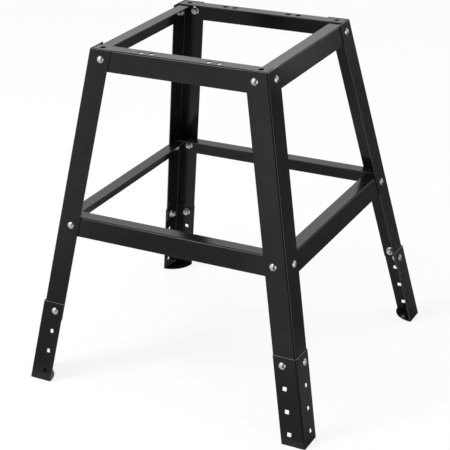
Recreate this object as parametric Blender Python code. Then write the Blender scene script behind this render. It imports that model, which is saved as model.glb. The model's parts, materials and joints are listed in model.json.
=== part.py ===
"""Scroll saw stand: splayed angle legs, top rails, lower braces and extending feet, bolted together.

Metres, +Z up, X along the front, the front face towards -Y, origin on the floor under the middle.
"""
from math import atan2, cos, pi, radians, sin, sqrt, tan

import bmesh
import bpy
from mathutils import Matrix, Vector

# Overall sizes, over the legs' outer corners
STAND_HEIGHT = 0.700
TOP_LENGTH = 0.383
TOP_DEPTH = 0.375
BASE_LENGTH = 0.632
BASE_DEPTH = 0.606

# Sheet steel: thickness, inside bend radius, gap between neighbouring pieces
SHEET = 0.002
BEND = 0.002
FIT = 0.0003

# Legs: flange width, and bolt holes from the outer corner
LEG_FLANGE = 0.0478
HOLE_LINE = 0.0293

# Top rails: depth of the outer flange, long ones and side ones, width of the level flange, bolts below the top
RAIL_HEIGHT = 0.0412
SIDE_RAIL_HEIGHT = 0.0395
RAIL_FLANGE = 0.028
RAIL_BOLT_DROP = 0.0184

# Lower braces: level of the front and rear ones, then as the rails
BRACE_LEVEL = 0.3618
BRACE_HEIGHT = 0.0398
BRACE_FLANGE = 0.028
BRACE_BOLT_DROP = 0.0183

# Feet: holes, level pitch, top edge above the top hole, lowest hole above the floor
FOOT_HOLES = 4
FOOT_HOLE_PITCH = 0.0448
FOOT_EDGE = 0.0177
FOOT_HOLE_RISE = 0.0222
FOOT_RELIEF = 0.0045
FOOT_STOP_GAP = 0.0025

# Holes for the saw along the middle of the front and rear rails: size, places from the middle, end hole
SAW_HOLE = 0.0115
SAW_HOLE_INNER = 0.0615
SAW_HOLE_OUTER = 0.0840
CORNER_HOLE_INSET = 0.0215

# Carriage bolts and hex flange nuts
BOLT_DIAMETER = 0.008
BOLT_CLEARANCE = 0.00035
BOLT_TIP = 0.003
BOLT_CHAMFER = 0.0008
HEAD_DIAMETER = 0.0145
HEAD_HEIGHT = 0.0045
HEAD_RIM = 0.0007
NUT_WIDTH = 0.013
NUT_HEIGHT = 0.0079
NUT_FLANGE = 0.0179
NUT_FLANGE_RIM = 0.0011
NUT_FLANGE_RISE = 0.0026
NUT_CHAMFER = 0.0007

# Facets
BEND_STEPS = 8
PLATE_STEPS = 12
BOLT_SIDES = 16
DOME_STEPS = 4
NUT_SIDES = 18
SAW_HOLE_SIDES = 16
BOLT_HOLE_SIDES = 12
SMOOTH_ANGLE = 35

# Sizes that follow from those above
SPLAY_X = (BASE_LENGTH - TOP_LENGTH) / 2 / STAND_HEIGHT
SPLAY_Y = (BASE_DEPTH - TOP_DEPTH) / 2 / STAND_HEIGHT
HOLE_SIZE = BOLT_DIAMETER + 2 * BOLT_CLEARANCE
NECK_SIZE = HOLE_SIZE - 2 * FIT
LAYER = SHEET + FIT
FOOT_FLANGE = LEG_FLANGE + LAYER
SAW_HOLE_LINE = TOP_DEPTH / 2 - LAYER - RAIL_FLANGE / 2
CUT_DEPTH = 3 * SHEET
RAIL_BOLT_LEVEL = STAND_HEIGHT - RAIL_BOLT_DROP
BRACE_BOLT_LEVEL = BRACE_LEVEL - BRACE_BOLT_DROP
FOOT_TRAVEL = (FOOT_HOLES - 1) * FOOT_HOLE_PITCH
FOOT_BOLT_LEVEL = FOOT_HOLE_RISE + FOOT_TRAVEL
FOOT_HEIGHT = FOOT_BOLT_LEVEL + FOOT_EDGE
LEG_END = FOOT_TRAVEL + SHEET + FOOT_STOP_GAP

CORNERS = {
    "front_left": (-1, -1),
    "front_right": (1, -1),
    "rear_left": (-1, 1),
    "rear_right": (1, 1),
}
# Quarter turns about Z that bring the front's pieces to each side
TURNS = {"front": 0, "right": 1, "rear": 2, "left": 3}
LONG_SIDES = ("front", "rear")


def half_length(level):
    """Distance from the middle to the legs' outer corners along X at a level."""
    return TOP_LENGTH / 2 + SPLAY_X * (STAND_HEIGHT - level)


def half_depth(level):
    """Distance from the middle to the legs' outer corners along Y at a level."""
    return TOP_DEPTH / 2 + SPLAY_Y * (STAND_HEIGHT - level)


def half_run(side, level):
    """Distance from the middle of a side to the legs' outer corners, along it."""
    return half_length(level) if side in LONG_SIDES else half_depth(level)


def half_reach(side, level):
    """Distance from the middle of the stand out to the legs' outer face on a side."""
    return half_depth(level) if side in LONG_SIDES else half_length(level)


def splay(side):
    """Outward slope of the legs' outer face on a side."""
    return SPLAY_Y if side in LONG_SIDES else SPLAY_X


def sides_of(corner):
    """The two sides that meet at a corner: front or rear, then left or right."""
    return corner.split("_")


def clear_scene():
    for obj in list(bpy.data.objects):
        bpy.data.objects.remove(obj)


def make_material(name, colour, roughness, metallic):
    material = bpy.data.materials.new(name)
    material.use_nodes = True
    shader = material.node_tree.nodes["Principled BSDF"]
    shader.inputs["Base Color"].default_value = (*colour, 1)
    shader.inputs["Roughness"].default_value = roughness
    shader.inputs["Metallic"].default_value = metallic
    return material


def mesh_from(bm, name, material=None):
    """Finish a bmesh as a mesh with outward faces, smooth over its bends."""
    bmesh.ops.recalc_face_normals(bm, faces=bm.faces)
    mesh = bpy.data.meshes.new(name)
    bm.to_mesh(mesh)
    bm.free()
    mesh.shade_smooth()
    mesh.set_sharp_from_angle(angle=radians(SMOOTH_ANGLE))
    mesh.materials.append(material)
    return mesh


def add_object(name, mesh, place=Matrix()):
    obj = bpy.data.objects.new(name, mesh)
    bpy.context.scene.collection.objects.link(obj)
    obj.matrix_world = place
    return obj


def cut_holes(obj, cutters):
    """Cut a list of (frame, size, sides) holes through an object, each along its frame's Z."""
    bm = bmesh.new()
    for frame, size, sides in cutters:
        reach = size / 2 if sides > 4 else size / sqrt(2)
        flats = Matrix.Rotation(pi / sides, 4, "Z")
        bmesh.ops.create_cone(bm, cap_ends=True, segments=sides, radius1=reach, radius2=reach,
                              depth=2 * CUT_DEPTH, matrix=frame @ flats)
    cutter = add_object(obj.name + "_holes", mesh_from(bm, obj.name + "_holes"))
    cutter.hide_render = True
    cutter.display_type = "WIRE"
    modifier = obj.modifiers.new("holes", "BOOLEAN")
    modifier.operation = "DIFFERENCE"
    modifier.solver = "EXACT"
    modifier.object = cutter


def fillet(before, corner, after, radius):
    """Points of an arc of that radius that rounds a corner between two straight edges."""
    first = (Vector(before) - Vector(corner)).normalized()
    second = (Vector(after) - Vector(corner)).normalized()
    half = first.angle(second) / 2
    centre = Vector(corner) + (first + second).normalized() * radius / sin(half)
    start = Vector(corner) + first * radius / tan(half) - centre
    end = Vector(corner) + second * radius / tan(half) - centre
    turn = atan2(start.x * end.y - start.y * end.x, start.dot(end))
    arc = []
    for step in range(BEND_STEPS + 1):
        arc.append(centre + Matrix.Rotation(turn * step / BEND_STEPS, 2) @ start)
    return arc


def angle_outline(flange):
    """Level section of a leg or foot: outer line, then inner line, from flange end to flange end.

    The outer corner is at the origin and the flanges run along -X and -Y.
    """
    outer_bend = fillet((-flange, 0), (0, 0), (0, -flange), BEND + SHEET)
    inner_bend = fillet((-SHEET, -flange), (-SHEET, -SHEET), (-flange, -SHEET), BEND)
    outer = [Vector((-flange, 0)), *outer_bend, Vector((0, -flange))]
    inner = [Vector((-SHEET, -flange)), *inner_bend, Vector((-flange, -SHEET))]
    return outer, inner


def splayed(point, level, sx, sy, out):
    """Place a point of a leg's section at a level, moved outwards by a distance."""
    x = sx * (half_length(level) + out + point.x)
    y = sy * (half_depth(level) + out + point.y)
    return x, y, level


def bridge(bm, low, high, closed=False):
    """Join two rows of vertices with four-sided faces."""
    count = len(low) if closed else len(low) - 1
    for i in range(count):
        j = (i + 1) % len(low)
        bm.faces.new((low[i], low[j], high[j], high[i]))


def face_frame(side, along, level):
    """Frame on the legs' outer face of a side: Z square out of the face, X level along it."""
    outward = Vector((0, -1, splay(side))).normalized()
    level_axis = Vector((1, 0, 0))
    upward = outward.cross(level_axis)
    axes = Matrix((level_axis, upward, outward)).transposed().to_4x4()
    local = Matrix.Translation((along, -half_reach(side, level), level)) @ axes
    return Matrix.Rotation(TURNS[side] * pi / 2, 4, "Z") @ local


def bolt_along(side, corner, level):
    """Distance along a side, in that side's own direction, of the bolt at a corner."""
    sx, sy = CORNERS[corner]
    sign = {"front": sx, "right": sy, "rear": -sx, "left": -sy}[side]
    return sign * (half_run(side, level) - HOLE_LINE)


def leg(corner, material):
    """Pressed angle leg: a level section carried down the splayed corner line."""
    sx, sy = CORNERS[corner]
    outer, inner = angle_outline(LEG_FLANGE)
    bm = bmesh.new()
    rows = []
    for level in (LEG_END, STAND_HEIGHT):
        rows.append([bm.verts.new(splayed(p, level, sx, sy, 0)) for p in outer + inner])
    bridge(bm, rows[0], rows[1], closed=True)
    for row in rows:
        bm.faces.new(row)
    obj = add_object("leg_" + corner, mesh_from(bm, "leg_" + corner, material))
    cutters = []
    for side in sides_of(corner):
        for level in (RAIL_BOLT_LEVEL, BRACE_BOLT_LEVEL):
            cutters.append((face_frame(side, bolt_along(side, corner, level), level), HOLE_SIZE, 4))
        along = bolt_along(side, corner, FOOT_BOLT_LEVEL)
        cutters.append((face_frame(side, along, FOOT_BOLT_LEVEL), HOLE_SIZE, BOLT_HOLE_SIDES))
    cut_holes(obj, cutters)


def foot_holes(corner):
    """Square holes in both flanges of a foot, in a row down the leg's own slope."""
    sx, sy = CORNERS[corner]
    cutters = []
    for number in range(FOOT_HOLES):
        drop = number * FOOT_HOLE_PITCH
        slide = Matrix.Translation((sx * SPLAY_X * drop, sy * SPLAY_Y * drop, -drop))
        for side in sides_of(corner):
            along = bolt_along(side, corner, FOOT_BOLT_LEVEL)
            cutters.append((slide @ face_frame(side, along, FOOT_BOLT_LEVEL), HOLE_SIZE, 4))
    return cutters


def foot_relief(corner):
    """Small hole in a foot's floor plate, close to where the two flanges meet."""
    sx, sy = CORNERS[corner]
    inset = -SHEET - SHEET / 2 - FOOT_RELIEF / 2
    x, y, floor = splayed(Vector((inset, inset)), 0, sx, sy, LAYER)
    frame = Matrix.Translation((x, y, floor + LAYER - CUT_DEPTH))
    return frame, FOOT_RELIEF, BOLT_HOLE_SIDES


def foot(corner, material):
    """Extending foot: an angle round the outside of the leg, closed below by a quarter-round plate."""
    sx, sy = CORNERS[corner]
    outer, inner = angle_outline(FOOT_FLANGE)
    reach = sqrt(FOOT_FLANGE ** 2 + SHEET ** 2)
    first = atan2(SHEET, FOOT_FLANGE)
    plate_edge = []
    for step in range(PLATE_STEPS + 1):
        angle = first + (pi / 2 - 2 * first) * step / PLATE_STEPS
        plate_edge.append(Vector((-reach * sin(angle), -reach * cos(angle))))

    bm = bmesh.new()

    def row(points, level):
        return [bm.verts.new(splayed(p, level, sx, sy, LAYER)) for p in points]

    outer_low, outer_high = row(outer, 0), row(outer, FOOT_HEIGHT)
    inner_low, inner_high = row(inner, SHEET), row(inner, FOOT_HEIGHT)
    edge_low = row(plate_edge, 0)
    edge_high = [inner_low[0], *row(plate_edge[1:-1], SHEET), inner_low[-1]]
    bridge(bm, outer_low, outer_high)
    bridge(bm, inner_low, inner_high)
    bridge(bm, edge_low, edge_high)
    bm.faces.new(outer_high + inner_high)
    bm.faces.new(outer_low + edge_low)
    bm.faces.new(inner_low + edge_high[-2:0:-1])
    for i in (0, -1):
        bm.faces.new((outer_low[-1 - i], edge_low[i], edge_high[i], inner_high[i], outer_high[-1 - i]))
    mesh = mesh_from(bm, "foot_" + corner, material)

    # The foot's own origin is on the line that it slides along
    origin = Matrix.Translation((sx * half_length(0), sy * half_depth(0), 0))
    mesh.transform(origin.inverted())
    obj = add_object("foot_" + corner, mesh, origin)
    cut_holes(obj, [*foot_holes(corner), foot_relief(corner)])


def bar_outline(side, level, height, flange):
    """Upright section of a rail or brace on the front: a flange along the legs and a level one inwards."""
    outside = LAYER - half_reach(side, level)
    bottom = level - height
    under = level - SHEET
    outer_top = (outside, level)
    outer_bottom = (outside - splay(side) * height, bottom)
    inner_bottom = (outside - splay(side) * height + SHEET, bottom)
    inner_top = (outside - splay(side) * SHEET + SHEET, under)
    flange_top = (outside + flange, level)
    flange_under = (outside + flange, under)
    return [
        outer_bottom,
        *fillet(outer_bottom, outer_top, flange_top, BEND + SHEET),
        flange_top,
        flange_under,
        *fillet(flange_under, inner_top, inner_bottom, BEND),
        inner_bottom,
    ]


def bar(name, side, level, size, bolt_level, level_holes, material):
    """Rail or brace: its section carried along one side, with bolt holes and holes in its level flange."""
    height, flange = size
    top = level
    half = half_run(side, level) - LAYER - BEND
    if side not in LONG_SIDES:
        # The level flange passes under those of the front and rear bars and stops at their bends
        top -= LAYER
        half -= LAYER
    bm = bmesh.new()
    outline = bar_outline(side, top, height, flange)
    rows = []
    for x in (-half, half):
        rows.append([bm.verts.new((x, y, z)) for y, z in outline])
    bridge(bm, rows[0], rows[1], closed=True)
    for row in rows:
        bm.faces.new(row)
    turn = Matrix.Rotation(TURNS[side] * pi / 2, 4, "Z")
    obj = add_object(name, mesh_from(bm, name, material), turn)
    cutters = []
    for corner in CORNERS:
        if side in sides_of(corner):
            frame = face_frame(side, bolt_along(side, corner, bolt_level), bolt_level)
            cutters.append((frame, HOLE_SIZE, BOLT_HOLE_SIDES))
    for x, y in level_holes:
        cutters.append((Matrix.Translation((x, y, top)), SAW_HOLE, SAW_HOLE_SIDES))
    cut_holes(obj, cutters)


def corner_holes(side):
    """Holes through both layers at the top corners, that lie in one side's level flange."""
    x = TOP_LENGTH / 2 - CORNER_HOLE_INSET
    places = []
    for corner, (sx, sy) in CORNERS.items():
        if side in sides_of(corner):
            places.append((sx * x, sy * SAW_HOLE_LINE))
    return places


def saw_holes(side):
    """Two pairs of holes for the saw's base in a front or rear rail."""
    if side not in LONG_SIDES:
        return []
    y = -SAW_HOLE_LINE if side == "front" else SAW_HOLE_LINE
    return [(x, y) for x in (-SAW_HOLE_OUTER, -SAW_HOLE_INNER, SAW_HOLE_INNER, SAW_HOLE_OUTER)]


def ring_radius(angle, radius, sides):
    """Distance from the axis to a circle, or to the flats of a polygon of that many sides."""
    if not sides:
        return radius
    step = 2 * pi / sides
    return radius / cos((angle + step / 2) % step - step / 2)


def turned(name, rings, segments, first_angle, material, bored=False):
    """Solid through rings of (radius, level, sides) round Z, bored through or capped at both ends."""
    bm = bmesh.new()
    rows = []
    for radius, level, sides in rings:
        row = []
        for i in range(segments):
            angle = first_angle + 2 * pi * i / segments
            reach = ring_radius(angle, radius, sides)
            row.append(bm.verts.new((reach * cos(angle), reach * sin(angle), level)))
        rows.append(row)
    for low, high in zip(rows, rows[1:]):
        bridge(bm, low, high, closed=True)
    if bored:
        bridge(bm, rows[-1], rows[0], closed=True)
    else:
        bm.faces.new(rows[0])
        bm.faces.new(rows[-1])
    return mesh_from(bm, name, material)


def bolt_mesh(material):
    """Carriage bolt along -Z, with its head on a face at level 0 and its square neck in the first sheet."""
    head, shank = HEAD_DIAMETER / 2, BOLT_DIAMETER / 2
    dome = HEAD_HEIGHT - HEAD_RIM
    ball = (head ** 2 + dome ** 2) / (2 * dome)
    widest = atan2(head, ball - dome)
    rings = []
    for step in range(1, DOME_STEPS + 1):
        angle = widest * step / DOME_STEPS
        rings.append((ball * sin(angle), FIT + HEAD_HEIGHT - ball * (1 - cos(angle)), 0))
    tip = -(2 * LAYER + NUT_HEIGHT + BOLT_TIP)
    rings += [
        (head, FIT, 0),
        (NECK_SIZE / 2, FIT, 4),
        (NECK_SIZE / 2, -SHEET, 4),
        (shank, -SHEET, 0),
        (shank, tip + BOLT_CHAMFER, 0),
        (shank - BOLT_CHAMFER, tip, 0),
    ]
    return turned("carriage_bolt", rings, BOLT_SIDES, pi / 4, material)


def nut_mesh(material):
    """Hex flange nut along -Z, with its flange under the second sheet."""
    seat = -2 * LAYER
    end = seat - NUT_HEIGHT
    bore = BOLT_DIAMETER / 2 + FIT
    hexagon = NUT_WIDTH / 2
    rings = [
        (bore, seat, 0),
        (NUT_FLANGE / 2, seat, 0),
        (NUT_FLANGE / 2, seat - NUT_FLANGE_RIM, 0),
        (hexagon, seat - NUT_FLANGE_RISE, 6),
        (hexagon, end + NUT_CHAMFER, 6),
        (hexagon, end, 0),
        (bore, end, 0),
    ]
    return turned("flange_nut", rings, NUT_SIDES, pi / 6, material, bored=True)


def fasteners(material):
    """A carriage bolt and a flange nut through each leg and rail, and each leg and brace."""
    bolt, nut = bolt_mesh(material), nut_mesh(material)
    for bar_name, level in (("rail", RAIL_BOLT_LEVEL), ("brace", BRACE_BOLT_LEVEL)):
        for corner in CORNERS:
            for side in sides_of(corner):
                place = face_frame(side, bolt_along(side, corner, level), level)
                end = corner if side in LONG_SIDES else corner + "_side"
                add_object(f"{bar_name}_bolt_{end}", bolt, place)
                add_object(f"{bar_name}_nut_{end}", nut, place)


def gather(name):
    """Hang every piece on one empty, so that the stand moves as a whole."""
    stand = bpy.data.objects.new(name, None)
    for obj in bpy.data.objects:
        if obj.type == "MESH":
            obj.parent = stand
    bpy.context.scene.collection.objects.link(stand)


def main():
    clear_scene()
    powder_coat = make_material("black_powder_coat", (0.018, 0.018, 0.019), 0.3, 0.0)
    zinc = make_material("bright_zinc", (0.66, 0.67, 0.69), 0.28, 1.0)
    for corner in CORNERS:
        leg(corner, powder_coat)
        foot(corner, powder_coat)
    for side in TURNS:
        top_holes = corner_holes(side) + saw_holes(side)
        rail_size = (RAIL_HEIGHT if side in LONG_SIDES else SIDE_RAIL_HEIGHT, RAIL_FLANGE)
        brace_size = (BRACE_HEIGHT, BRACE_FLANGE)
        bar("rail_" + side, side, STAND_HEIGHT, rail_size, RAIL_BOLT_LEVEL, top_holes, powder_coat)
        bar("brace_" + side, side, BRACE_LEVEL, brace_size, BRACE_BOLT_LEVEL, [], powder_coat)
    fasteners(zinc)
    gather("stand")


main()
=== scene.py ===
"""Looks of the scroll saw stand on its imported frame: coated sheet, zinc fasteners, studio and camera."""

import json
from math import atan2, cos, pi, radians, sin, tan

import bmesh
import bpy
from mathutils import Matrix, Vector


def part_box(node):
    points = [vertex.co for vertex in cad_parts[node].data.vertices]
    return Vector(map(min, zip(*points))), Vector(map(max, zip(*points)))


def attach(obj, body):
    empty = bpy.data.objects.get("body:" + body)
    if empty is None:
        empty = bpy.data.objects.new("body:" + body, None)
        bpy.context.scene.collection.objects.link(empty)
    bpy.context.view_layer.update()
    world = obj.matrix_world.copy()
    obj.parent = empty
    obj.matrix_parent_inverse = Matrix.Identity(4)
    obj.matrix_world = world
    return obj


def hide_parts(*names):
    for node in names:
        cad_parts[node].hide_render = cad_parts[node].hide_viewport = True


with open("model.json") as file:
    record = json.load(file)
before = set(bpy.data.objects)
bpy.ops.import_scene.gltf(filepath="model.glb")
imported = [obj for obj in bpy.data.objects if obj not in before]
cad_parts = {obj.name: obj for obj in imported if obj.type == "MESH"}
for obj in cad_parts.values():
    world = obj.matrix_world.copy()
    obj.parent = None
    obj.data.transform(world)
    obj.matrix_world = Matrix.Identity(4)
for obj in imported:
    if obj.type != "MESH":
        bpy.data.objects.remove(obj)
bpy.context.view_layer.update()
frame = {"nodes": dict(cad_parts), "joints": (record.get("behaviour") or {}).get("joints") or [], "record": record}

# Camera at the photograph's place: degrees, metres, and millimetres of lens and sensor
CAMERA_TARGET = (0.0630, -0.1293, 0.3504)
CAMERA_AZIMUTH = 28.515
CAMERA_ELEVATION = 24.691
CAMERA_ROLL = -1.637
CAMERA_DISTANCE = 2.7237
CAMERA_LENS = 109.914
CAMERA_SENSOR = 36.0

# Sheet steel: its thickness, the gap between two pieces that touch, and the step from one sheet to the next
SHEET = 0.002
FIT = 0.0003
LAYER = SHEET + FIT

# Cut edges of a packed sheet, found by angle in degrees, and cut faces, found by width and share of border
WELD_DISTANCE = 0.000002
FLAT_ANGLE = 0.2
CUT_EDGE_ANGLE = 40
CUT_FACE_WIDTH = 1.1 * SHEET
CUT_FACE_BORDER = 0.45

# Coat on cut edges: its rounding, and the length and slope of an edge face from which its finish changes; the
# lighter edge finishes are partly painted highlight
EDGE_ROUND = 0.00045
EDGE_STEPS = 3
ROUND_PROFILE = 0.5
EDGE_FINISH_LENGTH = 0.02
LEVEL_FACE = 0.75
SMOOTH_ANGLE = 32

# Material slots of a coated sheet
FACE_COAT = 0
EDGE_COAT = 1
# Slot for upward-facing top edges, which on the feet is a painted highlight
TOP_EDGE_COAT = 2

# Noise patterns as (scale per metre, detail, roughness), and the range that most noise values lie in
NOISE_RANGE = (0.3, 0.7)
COAT_BLOTCHES = (22, 3, 0.5)
COAT_GRAIN = (900, 2, 0.5)
COAT_PEEL = (420, 2, 0.4)
ZINC_CLOUDS = (350, 4, 0.5)
ZINC_GRAIN = (2600, 3, 0.5)
PAPER_CLOUDS = (0.8, 2, 0.5)

# Finishes: two colours and two roughnesses that a surface varies between, and bumps as (strength, depth)
FACE_COAT_COLOURS = ((0.0042, 0.0042, 0.0044), (0.0066, 0.0065, 0.0064))
# Cut edges: a thinner coat, made lighter still as a painted highlight along the edges
THIN_COAT_AND_HIGHLIGHT_COLOURS = ((0.026, 0.026, 0.027), (0.042, 0.042, 0.043))
# Lighter coat on the feet's upward-facing top edges: a painted highlight, as if light from above catches them
TOP_EDGE_HIGHLIGHT_COLOURS = ((0.14, 0.14, 0.142), (0.22, 0.22, 0.222))
COAT_ROUGHNESS = (0.14, 0.20)
COAT_BUMP = (0.12, 0.0003)
COAT_IOR = 1.33
ZINC_COLOURS = ((0.61, 0.62, 0.64), (0.74, 0.74, 0.73))
ZINC_ROUGHNESS = (0.34, 0.48)
ZINC_BUMP = (0.10, 0.0001)
PAPER_COLOURS = ((0.955, 0.955, 0.955), (0.97, 0.97, 0.97))
PAPER_ROUGHNESS = 0.9
PAPER_SPECULAR = 0.1
WHITE = (1, 1, 1, 1)

# Top hole of a foot below the foot's top edge
FOOT_EDGE = 0.0177

# Carriage bolts
BOLT_DIAMETER = 0.008
HEAD_DIAMETER = 0.0145
HEAD_HEIGHT = 0.0045
HEAD_RIM = 0.0007
HEAD_RIM_ROUND = 0.0002
NECK_SIZE = 0.0081
NECK_FLATS = 4
BOLT_TIP = 0.003
BOLT_CHAMFER = 0.0009
THREAD_PITCH = 0.00125
THREAD_DEPTH = 0.0007
THREAD_TURNS = 5
THREAD_STEPS = 8
BOLT_SIDES = 32
DOME_STEPS = 10

# Hex flange nuts, each turned by some degrees from the one before it
NUT_WIDTH = 0.013
NUT_FLATS = 6
NUT_CORNERS = 0.0146
NUT_HEIGHT = 0.0079
NUT_FLANGE = 0.0179
NUT_FLANGE_RIM = 0.0011
NUT_FLANGE_RISE = 0.0026
NUT_FLANGE_ROUND = 0.0003
NUT_TOP_CIRCLE = 0.0122
NUT_TOP_SLOPE = 30
NUT_BORE = 0.0082
NUT_COUNTERSINK = 0.0005
NUT_SIDES = 48
NUT_TURN = 137.5

# Corners of the stand, with the sides of X and Y that they are on
CORNERS = {
    "front_left": (-1, -1),
    "front_right": (1, -1),
    "rear_left": (-1, 1),
    "rear_right": (1, 1),
}

# Studio: paper floor, the share of plain white in what is seen of it, and the light of the surroundings
FLOOR_RADIUS = 14
FLOOR_SIDES = 96
FLOOR_WHITE_SHARE = 0.80
WORLD_LIGHT = 0.78

# Softboxes as (middle, point they face, width, height, brightness), and watts per square metre of white
WHITE_POWER = 4
SOFTBOXES = {
    "key_softbox": ((-1.55, -1.72, 3.26), (0, 0, 0.5), 1.1, 1.7, 8.0),
    "front_softbox": ((-0.85, -3.30, 0.55), (0, 0, 0.55), 0.8, 1.1, 0.4),
    "back_softbox": ((-1.50, 2.75, 2.15), (0, 0, 2.15), 2.8, 0.9, 0.45),
    "right_softbox": ((2.15, -0.80, 0.45), (0.25, -0.30, 0.45), 0.9, 0.9, 2.5),
}

# Dark ceiling that only the stand's gloss shows: a dome round a level, from its start angle up
CEILING_GREY = 0.03
CEILING_RADIUS = 6
CEILING_LEVEL = 0.65
CEILING_START = 31
CEILING_RINGS = 8
CEILING_SIDES = 48

# Upright cards that only the gloss shows, as (grey, height, two ends on the floor)
UPRIGHT_CARDS = {
    "camera_card": (0.03, 2.2, ((-0.13, -2.50), (2.10, -1.42))),
    "right_card": (0.05, 1.5, ((2.20, -0.30), (2.20, 0.30))),
}

# Mats that only the gloss shows, as (grey, level, corners in plan); the mats under and behind the stand are
# painted shade, standing in for the floor's shade there
MATS = {
    "camera_mat": (0.03, 0.004, ((0.33, -0.36), (0.42, -0.30), (2.10, -1.42), (-0.13, -2.50))),
    "front_mat": (0.42, 0.002, ((-1.80, -0.34), (-0.35, -0.34), (-0.35, -1.60), (-1.80, -1.60))),
    "front_mat_right": (0.52, 0.002, ((-0.35, -0.34), (0.33, -0.34), (0.24, -0.85), (-0.35, -0.85))),
    "front_mat_far": (0.05, 0.002, ((-1.20, -1.85), (-0.58, -1.85), (-0.86, -2.50), (-1.55, -2.50))),
    # Painted shade: grey mat under the stand, mirrored by its faces in place of the floor's shade
    "under_stand_shade_mat": (0.70, 0.003, ((-0.60, -0.25), (0.28, -0.25), (0.28, 0.30), (-0.60, 0.30))),
    # Painted shade: darker mat behind the stand, in place of the floor's shade there
    "behind_stand_shade_mat": (0.25, 0.003, ((-0.30, 0.30), (0.32, 0.30), (0.60, 2.20), (-0.30, 2.20))),
}

# Cards that slope up to the right, as (grey, lower line, its ends, upper line, its ends); lines at (X, Z)
SLOPE_FOOT = (0.319, 0.001)
SLOPE_BEND = (0.46, 0.06)
SLOPE_SHOULDER = (1.04, 0.36)
SLOPE_TOP = (1.50, 0.60)
SLOPES = {
    "right_slope_near": (0.42, SLOPE_FOOT, (-0.32, 0.20), SLOPE_BEND, (-0.32, 0.20)),
    "right_slope_low": (0.24, SLOPE_FOOT, (0.20, 2.40), SLOPE_BEND, (0.20, 2.40)),
    "right_slope": (0.165, SLOPE_BEND, (-0.30, 2.40), SLOPE_SHOULDER, (-0.30, 2.40)),
    "right_slope_side": (0.08, SLOPE_SHOULDER, (-0.15, 1.33), SLOPE_TOP, (-0.15, 2.04)),
    "right_slope_top": (0.85, SLOPE_SHOULDER, (1.33, 1.58), SLOPE_TOP, (2.04, 2.29)),
    "right_slope_far": (0.28, SLOPE_SHOULDER, (1.58, 2.40), SLOPE_TOP, (2.29, 3.10)),
}


# Shader helpers


def new_material(name):
    """A material with its node tree and its Principled shader."""
    material = bpy.data.materials.new(name)
    material.use_nodes = True
    tree = material.node_tree
    return material, tree, tree.nodes["Principled BSDF"]


def add_node(tree, kind, settings=None, **inputs):
    """A shader node with some settings and inputs; an input may be a value or another node's output."""
    node = tree.nodes.new(kind)
    for key, value in (settings or {}).items():
        setattr(node, key, value)
    for key, value in inputs.items():
        socket = node.inputs[key]
        if isinstance(value, bpy.types.NodeSocket):
            tree.links.new(value, socket)
        else:
            socket.default_value = value
    return node


def object_place(tree):
    """Object coordinates in metres."""
    return add_node(tree, "ShaderNodeTexCoord").outputs["Object"]


def noise(tree, place, pattern):
    """Noise value over a place, about 0.5 on average."""
    scale, detail, roughness = pattern
    node = add_node(tree, "ShaderNodeTexNoise", Vector=place, Scale=scale, Detail=detail, Roughness=roughness)
    return node.outputs["Fac"]


def spread(tree, value, result, source=NOISE_RANGE):
    """A value from one range mapped to another."""
    node = add_node(tree, "ShaderNodeMapRange", Value=value)
    for key, limit in zip(("From Min", "From Max", "To Min", "To Max"), (*source, *result)):
        node.inputs[key].default_value = limit
    return node.outputs["Result"]


def mottled(tree, value, colours):
    """Colour that goes from one colour to another with a noise value."""
    first, second = ((*colour, 1) for colour in colours)
    factor = spread(tree, value, (0, 1))
    node = add_node(tree, "ShaderNodeMix", {"data_type": "RGBA"}, Factor=factor, A=first, B=second)
    return node.outputs["Result"]


def bump(tree, height, strength, depth):
    """Normal of a surface with bumps of some depth in metres."""
    node = add_node(tree, "ShaderNodeBump", Height=height, Strength=strength, Distance=depth)
    return node.outputs["Normal"]


def seen_directly(tree):
    """1 for a ray that the camera, gloss or glass looks along, and 0 for light that a surface gathers."""
    rays = add_node(tree, "ShaderNodeLightPath").outputs
    seen = rays["Is Camera Ray"]
    for kind in ("Is Glossy Ray", "Is Transmission Ray"):
        either = add_node(tree, "ShaderNodeMath", {"operation": "MAXIMUM"})
        tree.links.new(seen, either.inputs[0])
        tree.links.new(rays[kind], either.inputs[1])
        seen = either.outputs[0]
    return seen


# Materials


def powder_coat(name, colours):
    """Semi-gloss powder coat: fine orange peel, slightly uneven gloss and depth of colour."""
    material, tree, shader = new_material(name)
    place = object_place(tree)
    colour = mottled(tree, noise(tree, place, COAT_BLOTCHES), colours)
    roughness = spread(tree, noise(tree, place, COAT_GRAIN), COAT_ROUGHNESS)
    peel = bump(tree, noise(tree, place, COAT_PEEL), *COAT_BUMP)
    tree.links.new(colour, shader.inputs["Base Color"])
    tree.links.new(roughness, shader.inputs["Roughness"])
    tree.links.new(peel, shader.inputs["Normal"])
    shader.inputs["IOR"].default_value = COAT_IOR
    return material


def bright_zinc():
    """Bright zinc plate: cool grey metal with cloudy plating and fine handling marks."""
    material, tree, shader = new_material("bright_zinc")
    place = object_place(tree)
    clouds = noise(tree, place, ZINC_CLOUDS)
    marks = bump(tree, noise(tree, place, ZINC_GRAIN), *ZINC_BUMP)
    tree.links.new(mottled(tree, clouds, ZINC_COLOURS), shader.inputs["Base Color"])
    tree.links.new(spread(tree, clouds, ZINC_ROUGHNESS), shader.inputs["Roughness"])
    tree.links.new(marks, shader.inputs["Normal"])
    shader.inputs["Metallic"].default_value = 1.0
    return material


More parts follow.
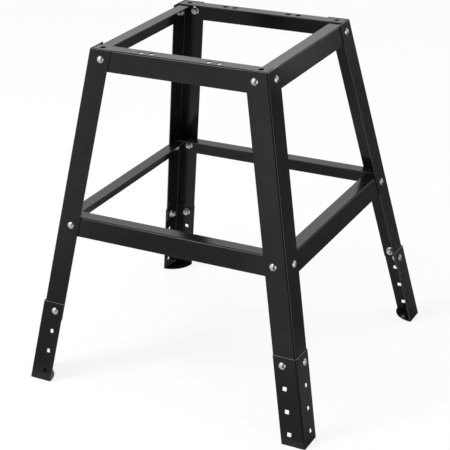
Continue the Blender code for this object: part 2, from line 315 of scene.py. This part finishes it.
def floor_paper():
    """White studio paper with a trace of unevenness, nearly plain white to the camera and the gloss."""
    material, tree, shader = new_material("studio_paper")
    clouds = noise(tree, object_place(tree), PAPER_CLOUDS)
    tree.links.new(mottled(tree, clouds, PAPER_COLOURS), shader.inputs["Base Color"])
    shader.inputs["Roughness"].default_value = PAPER_ROUGHNESS
    shader.inputs["Specular IOR Level"].default_value = PAPER_SPECULAR
    share = spread(tree, seen_directly(tree), (0, FLOOR_WHITE_SHARE), (0, 1))
    white = add_node(tree, "ShaderNodeEmission", Color=WHITE, Strength=1.0)
    mix = add_node(tree, "ShaderNodeMixShader")
    tree.links.new(share, mix.inputs[0])
    tree.links.new(shader.outputs[0], mix.inputs[1])
    tree.links.new(white.outputs[0], mix.inputs[2])
    tree.links.new(mix.outputs[0], tree.nodes["Material Output"].inputs["Surface"])
    return material


def matt(name, grey):
    """A matt grey without gloss."""
    material, _, shader = new_material(name)
    shader.inputs["Base Color"].default_value = (grey, grey, grey, 1)
    shader.inputs["Roughness"].default_value = 1.0
    shader.inputs["Specular IOR Level"].default_value = 0.0
    return material


# Meshes


def finish_mesh(bm, name, material):
    """A bmesh as a mesh with outward faces, smooth but for its sharp edges."""
    bmesh.ops.recalc_face_normals(bm, faces=bm.faces)
    mesh = bpy.data.meshes.new(name)
    bm.to_mesh(mesh)
    bm.free()
    mesh.shade_smooth()
    mesh.set_sharp_from_angle(angle=radians(SMOOTH_ANGLE))
    mesh.materials.append(material)
    return mesh


def add_object(name, data):
    """A new object in the scene."""
    thing = bpy.data.objects.new(name, data)
    bpy.context.scene.collection.objects.link(thing)
    return thing


def add_piece(name, mesh, body, place=Matrix()):
    """A visible piece that moves with a body and takes its finish from a slot."""
    piece = add_object(name, mesh)
    piece.matrix_world = place
    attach(piece, body)
    return piece


def bridge(bm, first, second):
    """Join two closed rings of vertices with four-sided faces."""
    for i in range(len(first)):
        j = (i + 1) % len(first)
        bm.faces.new((first[i], first[j], second[j], second[i]))


def ring(bm, sides, points):
    """A closed ring of vertices; points gives a radius and a level for each angle."""
    row = []
    for i in range(sides):
        angle = 2 * pi * i / sides
        radius, level = points(angle)
        row.append(bm.verts.new((radius * cos(angle), radius * sin(angle), level)))
    return row


def circle(radius, level):
    """Points of a round ring."""
    return lambda angle: (radius, level)


def polygon_radius(angle, flat, sides):
    """Distance from the axis to the flats of a polygon with a flat across the angle 0."""
    step = 2 * pi / sides
    return flat / cos((angle + step / 2) % step - step / 2)


# Coated sheet


def edge_finish(face):
    """Material slot of an edge face: that of the faces round a hole, others along the outline and its top."""
    if max(e.calc_length() for e in face.edges) < EDGE_FINISH_LENGTH:
        return FACE_COAT
    # Upward-facing cut faces take the top-edge slot, which on the feet is a painted highlight
    return TOP_EDGE_COAT if face.normal.z > LEVEL_FACE else EDGE_COAT


def coated_sheet(node, body, face_coat, edge_coat, top_edge_coat):
    """A sheet piece as its coat leaves it: every cut edge and hole rim rounded, with its own finish; the outline's
    cut edges are lighter, a thinner coat with a painted highlight.
    """
    bm = bmesh.new()
    bm.from_mesh(frame["nodes"][node].data)
    bmesh.ops.remove_doubles(bm, verts=bm.verts, dist=WELD_DISTANCE)
    bmesh.ops.dissolve_limit(bm, angle_limit=radians(FLAT_ANGLE), verts=bm.verts, edges=bm.edges)
    cut_edges = [e for e in bm.edges if e.calc_face_angle(0) > radians(CUT_EDGE_ANGLE)]
    for face in bm.faces:
        width = 2 * face.calc_area() / face.calc_perimeter()
        border = sum(e.calc_length() for e in face.edges if e in cut_edges)
        is_cut = width < CUT_FACE_WIDTH and border > CUT_FACE_BORDER * face.calc_perimeter()
        face.material_index = edge_finish(face) if is_cut else FACE_COAT
    bm.normal_update()
    rounded = bmesh.ops.bevel(bm, geom=cut_edges, offset=EDGE_ROUND, offset_type="OFFSET",
                              segments=EDGE_STEPS, profile=ROUND_PROFILE, affect="EDGES", clamp_overlap=True)
    bm.normal_update()
    for face in rounded["faces"]:
        face.material_index = edge_finish(face)
    mesh = finish_mesh(bm, node + "_coated", face_coat)
    mesh.materials.append(edge_coat)
    mesh.materials.append(top_edge_coat)
    piece = add_piece(node + "_coated", mesh, body)
    normals = piece.modifiers.new("flat_faces", "WEIGHTED_NORMAL")
    normals.keep_sharp = True
    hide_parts(node)


def add_sheets():
    """Every leg, rail, brace and foot in its coat; only the feet's upward-facing top edges get a lighter coat, a
    painted highlight.
    """
    face_coat = powder_coat("black_powder_coat", FACE_COAT_COLOURS)
    # The cut edges' coat is a thinner coat and partly a painted highlight
    edge_coat = powder_coat("thin_coat_and_painted_highlight", THIN_COAT_AND_HIGHLIGHT_COLOURS)
    # Painted highlight for the feet's upward-facing top edges
    top_edge_highlight_coat = powder_coat("painted_top_edge_highlight", TOP_EDGE_HIGHLIGHT_COLOURS)
    for body, nodes in frame["record"]["behaviour"]["bodies"].items():
        for node in nodes:
            if "_bolt_" in node or "_nut_" in node:
                continue
            # The feet's top edges take the painted highlight
            top_edge_coat = top_edge_highlight_coat if node.startswith("foot_") else edge_coat
            coated_sheet(node, body, face_coat, edge_coat, top_edge_coat)


# Fasteners


def square_neck(level):
    """Points of the four flats of a bolt's neck."""
    return lambda angle: (polygon_radius(angle, NECK_SIZE / 2, NECK_FLATS), level)


def thread(level, shank):
    """Points of a helical thread at a level."""
    def points(angle):
        phase = (level / THREAD_PITCH + angle / (2 * pi)) % 1
        return shank - THREAD_DEPTH * abs(2 * phase - 1), level
    return points


def carriage_bolt(material):
    """Carriage bolt along -Z: domed head on a face at level 0, square neck, threaded end."""
    head, shank = HEAD_DIAMETER / 2, BOLT_DIAMETER / 2
    dome = HEAD_HEIGHT - HEAD_RIM
    ball = (head ** 2 + dome ** 2) / (2 * dome)
    widest = atan2(head, ball - dome)
    tip = -(2 * LAYER + NUT_HEIGHT + BOLT_TIP)
    outlines = []
    for step in range(1, DOME_STEPS + 1):
        angle = widest * step / DOME_STEPS
        outlines.append(circle(ball * sin(angle), FIT + HEAD_HEIGHT - ball * (1 - cos(angle))))
    outlines += [circle(head, FIT + HEAD_RIM_ROUND), circle(head - HEAD_RIM_ROUND, FIT)]
    outlines += [square_neck(FIT), square_neck(-SHEET), circle(shank, -SHEET)]
    rows = THREAD_TURNS * THREAD_STEPS
    for row in range(rows + 1):
        outlines.append(thread(tip + BOLT_CHAMFER + THREAD_TURNS * THREAD_PITCH * (1 - row / rows), shank))
    outlines.append(circle(shank - BOLT_CHAMFER, tip))
    bm = bmesh.new()
    crown = bm.verts.new((0, 0, FIT + HEAD_HEIGHT))
    rings = [ring(bm, BOLT_SIDES, points) for points in outlines]
    for i in range(BOLT_SIDES):
        bm.faces.new((crown, rings[0][i], rings[0][(i + 1) % BOLT_SIDES]))
    for upper, lower in zip(rings, rings[1:]):
        bridge(bm, upper, lower)
    bm.faces.new(rings[-1])
    return finish_mesh(bm, "carriage_bolt", material)


def hexagon(level):
    """Points of six flats with slightly rounded corners."""
    return lambda angle: (min(polygon_radius(angle, NUT_WIDTH / 2, NUT_FLATS), NUT_CORNERS / 2), level)


def hexagon_top(end):
    """Points where the cone on the nut's end meets the flats, which gives each flat its arched edge."""
    def points(angle):
        radius, level = hexagon(end)(angle)
        return radius, level + max(0, radius - NUT_TOP_CIRCLE / 2) * tan(radians(NUT_TOP_SLOPE))
    return points


def flange_nut(material):
    """Hex flange nut along -Z, with its flange under the second sheet."""
    seat = -2 * LAYER
    end = seat - NUT_HEIGHT
    flange, bore = NUT_FLANGE / 2, NUT_BORE / 2
    outlines = [
        circle(bore, seat),
        circle(flange - NUT_FLANGE_ROUND, seat),
        circle(flange, seat - NUT_FLANGE_ROUND),
        circle(flange, seat - NUT_FLANGE_RIM + NUT_FLANGE_ROUND),
        circle(flange - NUT_FLANGE_ROUND, seat - NUT_FLANGE_RIM),
        hexagon(seat - NUT_FLANGE_RISE),
        hexagon_top(end),
        circle(NUT_TOP_CIRCLE / 2, end),
        circle(bore + NUT_COUNTERSINK, end),
        circle(bore, end + NUT_COUNTERSINK),
    ]
    bm = bmesh.new()
    rings = [ring(bm, NUT_SIDES, points) for points in outlines]
    for upper, lower in zip(rings, rings[1:] + rings[:1]):
        bridge(bm, upper, lower)
    return finish_mesh(bm, "flange_nut", material)


def outward(corner, end):
    """Direction square out of a leg's face, from the slope of the foot's slide on that leg."""
    sx, sy = CORNERS[corner]
    joint = next(j for j in frame["joints"] if j["child"] == corner + "_foot")
    x, y, z = (abs(value) for value in joint["axis"])
    direction = Vector((sx, 0, x / z)) if end.endswith("_side") else Vector((0, sy, y / z))
    return direction.normalized()


def bolt_frame(node, direction):
    """Frame of a packed bolt: origin on the face under its head, Z out of that face, X level."""
    points = [v.co for v in frame["nodes"][node].data.vertices]
    middle = sum(points, Vector()) / len(points)
    top = max((p - middle).dot(direction) for p in points)
    level_axis = Vector((0, 0, 1)).cross(direction).normalized()
    axes = Matrix((level_axis, direction.cross(level_axis), direction)).transposed().to_4x4()
    return Matrix.Translation(middle + direction * (top - HEAD_HEIGHT - FIT)) @ axes


def fastener_places(corner, end):
    """Frames of a leg face's three bolts; the foot's is in line with the others, one layer further out."""
    direction = outward(corner, end)
    rail = bolt_frame("rail_bolt_" + end, direction)
    brace = bolt_frame("brace_bolt_" + end, direction)
    foot_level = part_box("foot_" + corner)[1].z - FOOT_EDGE
    share = (rail.translation.z - foot_level) / (rail.translation.z - brace.translation.z)
    foot = rail.copy()
    foot.translation = rail.translation.lerp(brace.translation, share) + direction * LAYER
    return {"rail": rail, "brace": brace, "foot": foot}


def add_fastener(node, mesh, place):
    """A bolt or nut on the frame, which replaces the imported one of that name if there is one."""
    packed = node in frame["nodes"]
    piece = add_piece(node + "_zinc" if packed else node, mesh, "frame", place)
    if packed:
        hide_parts(node)


def add_fasteners():
    """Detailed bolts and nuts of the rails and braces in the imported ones' places, and those of the feet."""
    material = bright_zinc()
    bolt, nut = carriage_bolt(material), flange_nut(material)
    turned = 0
    for corner in CORNERS:
        for end in (corner, corner + "_side"):
            for name, place in fastener_places(corner, end).items():
                turned += NUT_TURN
                add_fastener(f"{name}_bolt_{end}", bolt, place)
                add_fastener(f"{name}_nut_{end}", nut, place @ Matrix.Rotation(radians(turned), 4, "Z"))


# Studio


def add_floor():
    """Round sheet of white paper under the stand."""
    bm = bmesh.new()
    bmesh.ops.create_circle(bm, cap_ends=True, segments=FLOOR_SIDES, radius=FLOOR_RADIUS)
    floor = add_object("floor", finish_mesh(bm, "floor", floor_paper()))


def add_world():
    """Even white surroundings, plain white to the camera and the gloss, and dimmer as light on the stand."""
    world = bpy.data.worlds.new("white_studio")
    world.use_nodes = True
    tree = world.node_tree
    background = tree.nodes["Background"]
    background.inputs["Color"].default_value = WHITE
    strength = spread(tree, seen_directly(tree), (WORLD_LIGHT, 1), (0, 1))
    tree.links.new(strength, background.inputs["Strength"])
    bpy.context.scene.world = world


def add_softbox(name, place, target, width, height, brightness):
    """Oblong studio light that faces a point; brightness is that of its surface, with 1 as white."""
    light = bpy.data.lights.new(name, "AREA")
    light.shape = "RECTANGLE"
    light.size = width
    light.size_y = height
    light.energy = WHITE_POWER * brightness * width * height
    lamp = add_object(name, light)
    aim = (Vector(target) - Vector(place)).to_track_quat("-Z", "Y")
    lamp.matrix_world = Matrix.Translation(place) @ aim.to_matrix().to_4x4()


def add_flag(name, bm, grey):
    """A grey studio flag, which only the gloss of the stand shows."""
    flag = add_object(name, finish_mesh(bm, name, matt(name, grey)))
    flag.visible_camera = False
    flag.visible_diffuse = False
    flag.visible_transmission = False
    flag.visible_shadow = False


def add_ceiling():
    """Dark ceiling over the studio, open all round at its foot."""
    bm = bmesh.new()
    rows = []
    for step in range(CEILING_RINGS):
        rise = radians(CEILING_START + (90 - CEILING_START) * step / CEILING_RINGS)
        level = CEILING_LEVEL + CEILING_RADIUS * sin(rise)
        rows.append(ring(bm, CEILING_SIDES, circle(CEILING_RADIUS * cos(rise), level)))
    for low, high in zip(rows, rows[1:]):
        bridge(bm, low, high)
    bm.faces.new(rows[-1])
    add_flag("ceiling_flag", bm, CEILING_GREY)


def add_card(name, grey, corners):
    """A flat grey card."""
    bm = bmesh.new()
    bm.faces.new([bm.verts.new(corner) for corner in corners])
    add_flag(name, bm, grey)


def add_cards():
    """Cards that stand upright, lie on the floor or slope up, for the tones that the stand's faces mirror."""
    for name, (grey, height, (start, end)) in UPRIGHT_CARDS.items():
        add_card(name, grey, ((*start, 0), (*end, 0), (*end, height), (*start, height)))
    for name, (grey, level, corners) in MATS.items():
        add_card(name, grey, [(*corner, level) for corner in corners])
    for name, (grey, low, low_ends, high, high_ends) in SLOPES.items():
        lower = [(low[0], y, low[1]) for y in low_ends]
        upper = [(high[0], y, high[1]) for y in reversed(high_ends)]
        add_card(name, grey, lower + upper)


def add_camera():
    """Camera at the photograph's place."""
    camera = bpy.data.cameras.new("camera")
    camera.sensor_width = CAMERA_SENSOR
    camera.lens = CAMERA_LENS
    eye = add_object("camera", camera)
    swing = Matrix.Rotation(radians(CAMERA_AZIMUTH), 4, "Z")
    tilt = Matrix.Rotation(radians(90 - CAMERA_ELEVATION), 4, "X")
    roll = Matrix.Rotation(radians(CAMERA_ROLL), 4, "Z")
    back = Matrix.Translation((0, 0, CAMERA_DISTANCE))
    eye.matrix_world = Matrix.Translation(CAMERA_TARGET) @ swing @ tilt @ back @ roll
    bpy.context.scene.camera = eye


def main():
    """The stand in its finishes, then the studio round it."""
    add_sheets()
    add_fasteners()
    add_floor()
    add_world()
    for name, setting in SOFTBOXES.items():
        add_softbox(name, *setting)
    add_ceiling()
    add_cards()
    add_camera()
    bpy.context.scene.view_settings.view_transform = "Standard"


main()
